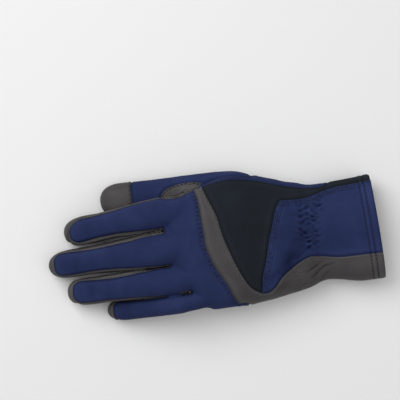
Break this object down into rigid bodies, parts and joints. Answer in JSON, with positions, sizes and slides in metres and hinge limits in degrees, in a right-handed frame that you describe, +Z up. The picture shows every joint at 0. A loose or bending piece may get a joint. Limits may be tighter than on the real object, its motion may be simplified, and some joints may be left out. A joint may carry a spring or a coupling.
{
  "type": "horse riding glove",
  "caption": "Left-hand horse riding glove with a navy stretch fabric back, grey leather palm, gussets and strip, a charcoal wrist panel and a gathered cuff.",
  "frame": {"origin": "middle of the glove's footprint, on the surface it rests on", "axes": "+X from the fingertips to the cuff, +Y to the thumb side, +Z up out of the back of the hand"},
  "size_m": [0.2398, 0.102, 0.042],
  "materials": {
    "navy_fabric": "fine woven stretch fabric with a soft sheen",
    "charcoal_fabric": "fine matte knit",
    "grey_leather": "soft matte synthetic leather with a fine grain"
  },
  "bodies": {
    "root": {"back_panel": "navy_fabric", "palm_panel": "grey_leather", "index_gusset": "grey_leather", "middle_gusset": "grey_leather", "ring_gusset": "grey_leather", "pinky_gusset": "grey_leather", "thumb_back": "navy_fabric", "thumb_front": "grey_leather", "rein_patch": "grey_leather", "radial_panel": "navy_fabric", "wrist_strip": "grey_leather", "dart_panel": "charcoal_fabric", "cuff_back": "navy_fabric", "cuff_front": "navy_fabric"}
  },
  "joints": []
}
